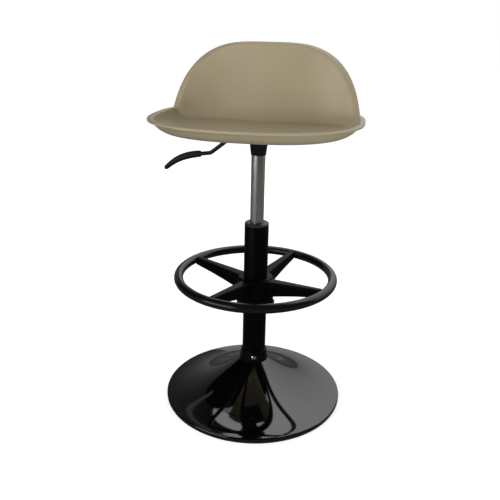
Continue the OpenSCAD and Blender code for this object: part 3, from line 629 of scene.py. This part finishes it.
@dataclass
class Seat:
    """Moulded bucket: dished pan, wrapped back and a flared rim all round."""

    shift: float = 25 * MM
    front: float = 186 * MM
    rear: float = 140 * MM
    front_square: float = 2.4
    rear_square: float = 3.4
    thickness: float = 4.5 * MM
    front_rim: float = 23 * MM
    back_rim: float = 154 * MM
    wrap: float = math.radians(66)
    wrap_power: float = 4.5
    band_turn: float = 5 * MM
    band_back: float = 12 * MM
    band_front: float = 5 * MM
    band_slope: float = math.radians(4)
    lip_turn: float = 3.4 * MM
    corner: float = 34 * MM
    front_slope: float = 54.0
    back_lean: float = 2.0
    slope_soft: float = 12 * MM
    dish: float = 3 * MM
    droop: float = math.radians(52)
    screw_x: float = 64 * MM
    screw_y: float = 52 * MM
    boss_height: float = 8 * MM
    boss_radius: float = 9 * MM
    side_steps: int = 12
    corner_steps: int = 16
    rim_steps: tuple[int, int, int] = (9, 5, 12)
    boss_sides: int = 48
    columns: int = 360
    column_shift: float = math.radians(12)

    def plan(self, a: Points) -> Points:
        """Distance from the middle to the outline, a superellipse: |x / w|^k + |y / b|^k = 1.

        Args:
            a: angles from the back, in radians.

        Returns:
            Distance at each angle.
        """
        low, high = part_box("seat_shell")
        half = 0.5 * (high.x - low.x)
        back = np.cos(a) > 0.0
        b = np.where(back, self.rear, self.front)
        k = np.where(back, self.rear_square, self.front_square)
        return (np.abs(np.sin(a) / half) ** k + np.abs(np.cos(a) / b) ** k) ** (-1.0 / k)

    def lines(self) -> tuple[Points, Points, Points]:
        """Upper lines of the shell, one column for each angle.

        From the middle outward: the dish h (r/out)^3, a corner arc up to the side's slope, a
        straight side, and the rim. The slope goes from the front's to the back's as the rim
        rises, and the rim's height falls as 1 - (a / wrap)^power.

        Returns:
            The angles, and the distances out and heights as grids of steps by angles.
        """
        u = np.linspace(-np.pi, np.pi, self.columns, endpoint=False)
        a = u + self.column_shift * np.sin(2.0 * u)
        share = 1.0 - np.minimum(1.0, np.abs(a) / self.wrap) ** self.wrap_power
        height = self.front_rim + (self.back_rim - self.front_rim) * share
        up = height - self.front_rim
        steep = 90.0 - self.back_lean - self.front_slope
        w = np.radians(self.front_slope + steep * up / (up + self.slope_soft))
        run, rise = self.rim(w, self.band_front + (self.band_back - self.band_front) * share)
        out = self.plan(a) - run[-1]
        corner_h = self.corner * (1.0 - np.cos(w))
        side_h = height - self.dish - corner_h - rise.max(axis=0)
        side_w = side_h / np.tan(w)
        end = out - side_w - self.corner * np.sin(w)
        t = np.linspace(0.0, 1.0, self.side_steps + 1)[1:, None]
        pan_r = end * t
        b = w * np.linspace(0.0, 1.0, self.corner_steps + 1)[1:, None]
        corner_r = end + self.corner * np.sin(b)
        side_r = end + self.corner * np.sin(w) + side_w * t
        rim_z = self.dish + corner_h + side_h + rise
        r = np.vstack([pan_r, corner_r, side_r, out + run])
        z = np.vstack([self.dished(pan_r, out), self.dished(corner_r, out) + self.corner * (1.0 - np.cos(b)),
                       self.dished(side_r, out) + corner_h + side_h * t, rim_z])
        return a, r, z

    def rim(self, w: Points, band: Points) -> tuple[Points, Points]:
        """Rim from the top of the side outward: a tight bend, a flat band and a lip rolled down.

        The slope angle c is set step by step and the place is its sum: x = sum(ds cos c) and
        z = sum(ds sin c). The bend takes c from w to the band's slope, the lip takes it on to
        minus the droop.

        Args:
            w: slope of the side at each angle.
            band: length of the flat band at each angle.

        Returns:
            Distances out and heights from the top of the side, as grids of steps by angles.
        """
        q = np.minimum(w, self.band_slope)
        bends, flats, lips = self.rim_steps
        bend, flat, lip = ((np.arange(n)[:, None] + 0.5) / n for n in self.rim_steps)
        c = np.vstack([w + (q - w) * bend, q + 0.0 * flat, q - (q + self.droop) * lip])
        ds = np.vstack([self.band_turn * (w - q) / bends + 0.0 * bend, band / flats + 0.0 * flat,
                        self.lip_turn * (q + self.droop) / lips + 0.0 * lip])
        return np.cumsum(ds * np.cos(c), axis=0), np.cumsum(ds * np.sin(c), axis=0)

    def dished(self, r: Points, out: Points) -> Points:
        """Rise of the pan at distance r from its middle: dish (r / out)^3."""
        return self.dish * (r / out) ** 3

    def bosses(self) -> None:
        """Makes the four screw bosses under the pan: tubes from the plate up into the shell."""
        low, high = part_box("seat_inserts")
        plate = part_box("seat_plate")[1].z
        bore = 0.5 * (high.y - low.y - 2.0 * self.screw_y)
        top = plate + self.boss_height + 0.5 * self.thickness
        profile = rounded([(bore, plate, 0.3 * MM), (self.boss_radius, plate, 0.6 * MM),
                           (self.boss_radius, top, 0.0), (bore, top, 0.0)], 5)
        ring = turned(profile, self.boss_sides)
        for k, (x, y) in enumerate(((1, 1), (-1, 1), (-1, -1), (1, -1)), start=1):
            grid = ring + np.array([x * self.screw_x, y * self.screw_y, 0.0])
            boss = skinned(f"seat_boss_{k}", grid, Body.LIFT, loop=True)
            soften(boss, 50.0)
            dress_as(boss, "seat_shell")
        log.info("seat bosses: 4")

    def build(self) -> None:
        """Makes the shell: the upper lines, a rounded lip, and the same lines one wall lower."""
        low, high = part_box("seat_shell")
        a, r, z = self.lines()
        dr, dz = np.gradient(r, axis=0), np.gradient(z, axis=0)
        n = np.hypot(dr, dz)
        nr, nz = dz / n, -dr / n
        t = np.linspace(0.0, np.pi, 7)[1:-1, None]
        half = 0.5 * self.thickness
        lip_r = r[-1] + half * (1.0 - np.cos(t)) * nr[-1] + half * np.sin(t) * dr[-1] / n[-1]
        lip_z = z[-1] + half * (1.0 - np.cos(t)) * nz[-1] + half * np.sin(t) * dz[-1] / n[-1]
        under_r, under_z = r + self.thickness * nr, z + self.thickness * nz
        all_r = np.vstack([r, lip_r, under_r[::-1]])
        all_z = np.vstack([z, lip_z, under_z[::-1]])
        rim_top = high.z - self.back_rim
        grid = np.stack([all_r * np.sin(a), all_r * np.cos(a) - self.shift, rim_top + all_z], axis=-1)
        shell = skinned("bucket_shell", within(grid, "seat_shell"), Body.LIFT)
        dress_as(shell, "seat_shell")
        log.info("bucket shell: %d faces", len(shell.data.polygons))
        self.bosses()
        for node in ("seat_plate", "seat_screws", "seat_inserts", "lever_bracket"):
            copied(node, f"{node}_rims", Body.LIFT)


@dataclass
class Lever:
    """Height lever: a round rod bent twice, its pivot barrel, and a curved moulded grip."""

    rod: float = 4 * MM
    bend: float = 14 * MM
    inner: float = 5 * MM
    elbow: float = -54 * MM
    knee: tuple[float, float] = (-97 * MM, -41 * MM)
    end: tuple[float, float] = (-140 * MM, -47 * MM)
    pivot: float = -34 * MM
    pivot_drop: float = 1.5 * MM
    plate_gap: float = 1 * MM
    barrel: float = 5.2 * MM
    pin: float = 2.55 * MM
    grip_start: float = -117 * MM
    grip_curl: float = 25 * MM
    grip_drop: float = 32 * MM
    grip_width: float = 14 * MM
    sides: int = 48

    def course(self) -> Points:
        """Middle line of the rod, its two corners rounded to the bend radius.

        Returns:
            Rows of (x, z) from the rod's inner end to its end in the grip.
        """
        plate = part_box("seat_plate")[0].z
        level = plate - self.plate_gap - self.rod
        fall = self.pivot_drop * (self.inner - self.elbow) / (self.inner - self.pivot)
        corners = [(self.inner, level, 0.0), (self.elbow, level - fall, self.bend),
                   (self.knee[0], plate + self.knee[1], self.bend), (self.end[0], plate + self.end[1], 0.0)]
        return rounded(corners, 20, closed=False)

    def shaft(self) -> None:
        """Makes the rod and the barrel that turns on the pin."""
        line = self.course()
        ahead = (line[1] - line[0]) / np.linalg.norm(line[1] - line[0])
        start = line[0] + ahead * np.array([[0.4], [1.0]]) * MM
        path = np.vstack([line[:1], start, line[1:]])
        radii = np.full(len(path), self.rod)
        radii[0] -= 0.4 * MM
        shaft = skinned("lever_shaft", within(swept(path, radii, self.sides), "lever_rod"), Body.LEVER)
        soften(shaft, 50.0)
        dress_as(shaft, "lever_rod")
        low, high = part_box("lever_rod")
        half = 0.5 * (high.y - low.y)
        profile = rounded([(self.pin, -half, 0.0), (self.barrel, -half, 0.5 * MM),
                           (self.barrel, half, 0.5 * MM), (self.pin, half, 0.0)], 5)
        ring = turned(profile, self.sides)
        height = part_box("seat_plate")[0].z - self.plate_gap - self.rod - self.pivot_drop
        grid = np.stack([self.pivot + ring[..., 0], ring[..., 2], height + ring[..., 1]], axis=-1)
        barrel = skinned("lever_barrel", grid, Body.LEVER, loop=True)
        soften(barrel, 50.0)
        dress_as(barrel, "lever_rod")
        log.info("lever shaft: %d faces", len(shaft.data.polygons))

    def grip(self) -> None:
        """Makes the grip along a cubic curve, (1-t)^3 a + 3t(1-t)^2 b + 3t^2(1-t) c + t^3 d.

        Its radius is half the width times 0.66 + 0.34 sin(180 (0.28 + 0.72 t)), which swells near
        the rod, with a rounded tip over the last part and a small lead-in at the start.
        """
        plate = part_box("seat_plate")[0].z
        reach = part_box("lever_grip")[0].x + 0.4 * MM
        end = plate + self.end[1]
        slope = (self.knee[1] - self.end[1]) / (self.knee[0] - self.end[0])
        posts = np.array([[self.grip_start, end + slope * (self.grip_start - self.end[0])],
                          [self.grip_start - 2.0 * self.grip_width, end],
                          [reach + self.grip_curl, end - 0.5 * self.grip_width],
                          [reach, end - self.grip_drop]])
        t = 1.0 - (1.0 - np.linspace(0.0, 1.0, 90)) ** 1.25
        weights = np.stack([(1 - t) ** 3, 3 * t * (1 - t) ** 2, 3 * t * t * (1 - t), t**3], axis=1)
        nose = np.sqrt(np.maximum(0.06, 1.0 - (np.maximum(0.0, t - 0.94) / 0.06) ** 2))
        lead = 0.86 + 0.14 * np.minimum(1.0, t / 0.03)
        swell = 0.66 + 0.34 * np.sin(np.pi * (0.28 + 0.72 * t))
        radii = 0.5 * self.grip_width * swell * nose * lead
        grid = swept(weights @ posts, radii, self.sides)
        grip = skinned("lever_handle", within(grid, "lever_grip"), Body.LEVER)
        soften(grip, 60.0)
        dress_as(grip, "lever_grip")
        log.info("lever grip: %d faces", len(grip.data.polygons))

    def build(self) -> None:
        """Makes the lever's pieces."""
        self.shaft()
        self.grip()
        copied("lever_pin", "pivot_pin", Body.LIFT, edge=0.25 * MM)


@dataclass(frozen=True)
class Panel:
    """Soft light panel aimed at the stool: azimuth from behind the stool to the right of the view."""

    name: str
    azimuth: float
    elevation: float
    distance: float
    width: float
    height: float
    radiance: float
    tint: tuple[float, float, float] = (1.0, 1.0, 1.0)
    mirrored: bool = True


@dataclass(frozen=True)
class Flag:
    """Card, part of a sphere round the stool, that only a gloss surface shows.

    Its tone rises evenly with height from the first value at the floor to the second overhead.
    """

    name: str
    azimuths: tuple[float, float]
    elevations: tuple[float, float]
    tones: tuple[float, float] = (0.0, 0.0)
    distance: float = 4.0


@dataclass
class Studio:
    """Camera, panels, dark and bright cards, floor and world, set round the photograph's view."""

    yaw: float = math.radians(10.0)
    pitch: float = math.radians(20.3)
    roll: float = math.radians(1.2)
    distance: float = 1.2
    eye: float = 0.784
    aside: float = 0.0128
    focal_pixels: float = 613.0
    sensor: float = 36.0
    clip: tuple[float, float] = (0.05, 50.0)
    aim: Vector = field(default_factory=lambda: Vector((0.0, 0.0, 0.45)))
    floor_half: float = 12.0
    floor_pale: float = 0.6
    floor_glow: tuple[float, float] = (0.7, 1.0)
    glow_reach: tuple[float, float] = (0.7, 3.5)
    floor_bounce: float = 0.5
    floor_mirrored: float = 0.1
    fill: float = 0.14
    card_grid: tuple[int, int] = (40, 20)
    panels: tuple[Panel, ...] = (
        Panel("window_right", 42.0, 44.0, 2.2, 2.8, 2.2, 0.6, mirrored=False),
        Panel("window_left", -28.0, 66.0, 2.2, 1.0, 1.0, 1.0),
        Panel("key_front", 230.0, 24.0, 2.4, 2.0, 1.1, 4.8, (1.0, 0.985, 0.96), mirrored=False),
        Panel("fill_front", 150.0, 0.0, 2.4, 2.0, 1.1, 4.6, mirrored=False),
        Panel("fill_rear", 10.0, 12.0, 2.4, 2.0, 1.1, 3.0, mirrored=False),
    )
    flags: tuple[Flag, ...] = (
        Flag("flag_front", (95.0, 315.0), (-6.0, 88.0)),
        Flag("flag_top", (-45.0, 95.0), (76.0, 88.0)),
        Flag("flag_behind", (-45.0, -6.0), (-6.0, 54.0), (0.25, 0.0)),
        Flag("window_mirrored", (-6.0, 88.0), (-6.0, 74.0), (0.3, 2.1)),
        Flag("strip_mirrored", (-52.0, -8.0), (37.0, 40.5), (0.27, 0.27), 3.8),
        Flag("key_mirrored", (208.0, 250.0), (-4.0, 22.0), (2.6, 2.6), 3.8),
    )

    def axes(self) -> tuple[Vector, Vector, Vector]:
        """Directions of the camera, pitched down, then rolled about its forward axis.

        Returns:
            Right, up and forward.
        """
        c, s = math.cos(self.yaw), math.sin(self.yaw)
        forward = Vector((-s * math.cos(self.pitch), c * math.cos(self.pitch), -math.sin(self.pitch)))
        right = Vector((c, s, 0.0))
        up = right.cross(forward)
        cr, sr = math.cos(self.roll), math.sin(self.roll)
        return cr * right + sr * up, cr * up - sr * right, forward

    def towards(self, azimuth: Points, elevation: Points) -> Points:
        """Unit directions from the stool: (sin a cos e, cos a cos e, sin e).

        Args:
            azimuth: degrees from behind the stool, to the right of the view.
            elevation: degrees above the floor.

        Returns:
            Directions, with x, y and z along the last axis.
        """
        a, e = np.radians(azimuth) - self.yaw, np.radians(elevation)
        return np.stack([np.sin(a) * np.cos(e), np.cos(a) * np.cos(e), np.sin(e)], axis=-1)

    def camera(self) -> None:
        """Puts the camera at the photograph's place and angle."""
        c, s = math.cos(self.yaw), math.sin(self.yaw)
        right, up, forward = self.axes()
        data = bpy.data.cameras.new("camera")
        data.sensor_width = self.sensor
        data.lens = self.focal_pixels / IMAGE_PIXELS * self.sensor
        data.clip_start, data.clip_end = self.clip
        eye = bpy.data.objects.new("camera", data)
        place = Vector((-self.aside * c + self.distance * s, -self.aside * s - self.distance * c, self.eye))
        turn = Matrix((right, up, -forward)).transposed()
        eye.matrix_world = Matrix.Translation(place) @ turn.to_4x4()
        bpy.context.scene.collection.objects.link(eye)
        bpy.context.scene.camera = eye

    def light(self, panel: Panel) -> None:
        """Adds an area lamp of a given radiance L: its power is pi * area * L.

        Args:
            panel: panel to light.
        """
        data = bpy.data.lights.new(panel.name, "AREA")
        data.shape = "RECTANGLE"
        data.size, data.size_y = panel.width, panel.height
        data.energy = math.pi * panel.width * panel.height * panel.radiance
        data.color = panel.tint
        lamp = bpy.data.objects.new(panel.name, data)
        out = Vector(self.towards(np.array(panel.azimuth), np.array(panel.elevation)).tolist())
        lamp.location = self.aim + out * panel.distance
        lamp.rotation_euler = out.to_track_quat("Z", "Y").to_euler()
        lamp.visible_glossy = panel.mirrored
        bpy.context.scene.collection.objects.link(lamp)

    def block(self, flag: Flag) -> None:
        """Adds a card of the tone that the photograph's base mirrors from that side.

        Args:
            flag: card to put up. It throws no shadow and no camera sees it.
        """
        wide, tall = self.card_grid
        az, el = np.meshgrid(np.linspace(*flag.azimuths, wide), np.linspace(*flag.elevations, tall))
        grid = np.array(self.aim) + flag.distance * self.towards(az, el)
        i, j = np.meshgrid(np.arange(tall - 1), np.arange(wide - 1), indexing="ij")
        first = (i * wide + j).ravel()
        faces = np.stack([first, first + 1, first + wide + 1, first + wide], axis=1)
        mesh = bpy.data.meshes.new(flag.name)
        mesh.from_pydata(grid.reshape(-1, 3).tolist(), [], faces.tolist())
        card = bpy.data.objects.new(flag.name, mesh)
        bpy.context.scene.collection.objects.link(card)
        card.visible_camera = card.visible_diffuse = card.visible_shadow = False
        card.visible_transmission = card.visible_volume_scatter = False
        made = bpy.data.materials.new(f"{flag.name}_cloth")
        made.use_nodes = True
        tree = made.node_tree
        tree.nodes.remove(tree.nodes["Principled BSDF"])
        glow, place, split, rise = (tree.nodes.new(kind) for kind in
                                    ("ShaderNodeEmission", "ShaderNodeTexCoord", "ShaderNodeSeparateXYZ",
                                     "ShaderNodeMapRange"))
        rise.inputs["From Max"].default_value = flag.distance
        rise.inputs["To Min"].default_value, rise.inputs["To Max"].default_value = flag.tones
        tree.links.new(place.outputs["Object"], split.inputs[0])
        tree.links.new(split.outputs["Z"], rise.inputs["Value"])
        tree.links.new(rise.outputs["Result"], glow.inputs["Strength"])
        tree.links.new(glow.outputs[0], tree.nodes["Material Output"].inputs["Surface"])
        mesh.materials.append(made)

    @staticmethod
    def seen(tree: bpy.types.NodeTree, mirrored: float = 1.0) -> bpy.types.NodeSocket:
        """Value that is 1 on camera, glossy and transmission rays, which show the background.

        Args:
            tree: node tree of the floor or the world.
            mirrored: value on glossy rays, below 1 where gloss shows only a share of it.

        Returns:
            The value's socket.
        """
        ray = tree.nodes.new("ShaderNodeLightPath")
        total = ray.outputs["Is Camera Ray"]
        for kind, share in (("Is Glossy Ray", mirrored), ("Is Transmission Ray", 1.0)):
            add = tree.nodes.new("ShaderNodeMath")
            add.operation, add.use_clamp = "MULTIPLY_ADD", True
            add.inputs[1].default_value = share
            tree.links.new(ray.outputs[kind], add.inputs[0])
            tree.links.new(total, add.inputs[2])
            total = add.outputs[0]
        return total

    def floor(self) -> None:
        """Adds a wide pale floor: white where it is seen, a mid grey to the rays that light.

        The glow makes up for the lamps' fall-off: it rises with the distance from the stool, so
        that the floor meets the white world without a horizon and still keeps the shadow. Gloss
        shows a share of it and none of the grey, as the photograph's base mirrors a dim floor.
        """
        half = self.floor_half
        mesh = bpy.data.meshes.new("floor")
        corners = [(-half, -half, 0.0), (half, -half, 0.0), (half, half, 0.0), (-half, half, 0.0)]
        mesh.from_pydata(corners, [], [(0, 1, 2, 3)])
        floor = bpy.data.objects.new("floor", mesh)
        bpy.context.scene.collection.objects.link(floor)
        made = bpy.data.materials.new("floor_paint")
        made.use_nodes = True
        tree = made.node_tree
        tree.nodes.remove(tree.nodes["Principled BSDF"])
        pale, grey = tree.nodes.new("ShaderNodeBsdfDiffuse"), tree.nodes.new("ShaderNodeBsdfDiffuse")
        pale.inputs["Color"].default_value = (*[self.floor_pale] * 3, 1.0)
        ray, dim = tree.nodes.new("ShaderNodeLightPath"), tree.nodes.new("ShaderNodeMapRange")
        dim.inputs["To Min"].default_value, dim.inputs["To Max"].default_value = self.floor_bounce, 0.0
        tree.links.new(ray.outputs["Is Glossy Ray"], dim.inputs["Value"])
        tree.links.new(dim.outputs["Result"], grey.inputs["Color"])
        glow, both, mix = (tree.nodes.new(kind) for kind in
                           ("ShaderNodeEmission", "ShaderNodeAddShader", "ShaderNodeMixShader"))
        place, far, rise = (tree.nodes.new(kind) for kind in
                            ("ShaderNodeTexCoord", "ShaderNodeVectorMath", "ShaderNodeMapRange"))
        far.operation = "LENGTH"
        rise.inputs["From Min"].default_value, rise.inputs["From Max"].default_value = self.glow_reach
        rise.inputs["To Min"].default_value, rise.inputs["To Max"].default_value = self.floor_glow
        tree.links.new(place.outputs["Object"], far.inputs[0])
        tree.links.new(far.outputs["Value"], rise.inputs["Value"])
        tree.links.new(rise.outputs["Result"], glow.inputs["Strength"])
        tree.links.new(pale.outputs[0], both.inputs[0])
        tree.links.new(glow.outputs[0], both.inputs[1])
        tree.links.new(self.seen(tree, self.floor_mirrored), mix.inputs["Fac"])
        tree.links.new(grey.outputs[0], mix.inputs[1])
        tree.links.new(both.outputs[0], mix.inputs[2])
        tree.links.new(mix.outputs[0], tree.nodes["Material Output"].inputs["Surface"])
        mesh.materials.append(made)

    def world(self) -> None:
        """White where it is seen or mirrored, a dim even light for everything else."""
        made = bpy.data.worlds.new("studio_world")
        bpy.context.scene.world = made
        made.use_nodes = True
        tree = made.node_tree
        strength = tree.nodes.new("ShaderNodeMapRange")
        strength.inputs["To Min"].default_value = self.fill
        strength.inputs["To Max"].default_value = 1.0
        tree.links.new(self.seen(tree), strength.inputs["Value"])
        tree.links.new(strength.outputs["Result"], tree.nodes["Background"].inputs["Strength"])
        tree.nodes["Background"].inputs["Color"].default_value = (1.0, 1.0, 1.0, 1.0)

    def build(self) -> None:
        """Sets up the whole studio."""
        bpy.context.scene.view_settings.view_transform = "Standard"
        self.camera()
        for panel in self.panels:
            self.light(panel)
        for flag in self.flags:
            self.block(flag)
        self.floor()
        self.world()
        log.info("studio: %d panels, %d flags", len(self.panels), len(self.flags))


def dress_packed() -> None:
    """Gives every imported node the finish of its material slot."""
    for name, node in frame["nodes"].items():
        FINISHES[FINISH_OF[name]].dress(node)
        log.info("%s: %s", name, FINISH_OF[name])


def main() -> None:
    """Builds the studio, then the stool from the floor up."""
    logging.basicConfig(level=logging.INFO, format="%(name)s: %(message)s")
    Studio().build()
    dress_packed()
    for assembly in (Base(), Column(), Footrest(), Lift(), Seat(), Lever()):
        assembly.build()


if __name__ == "__main__":
    main()
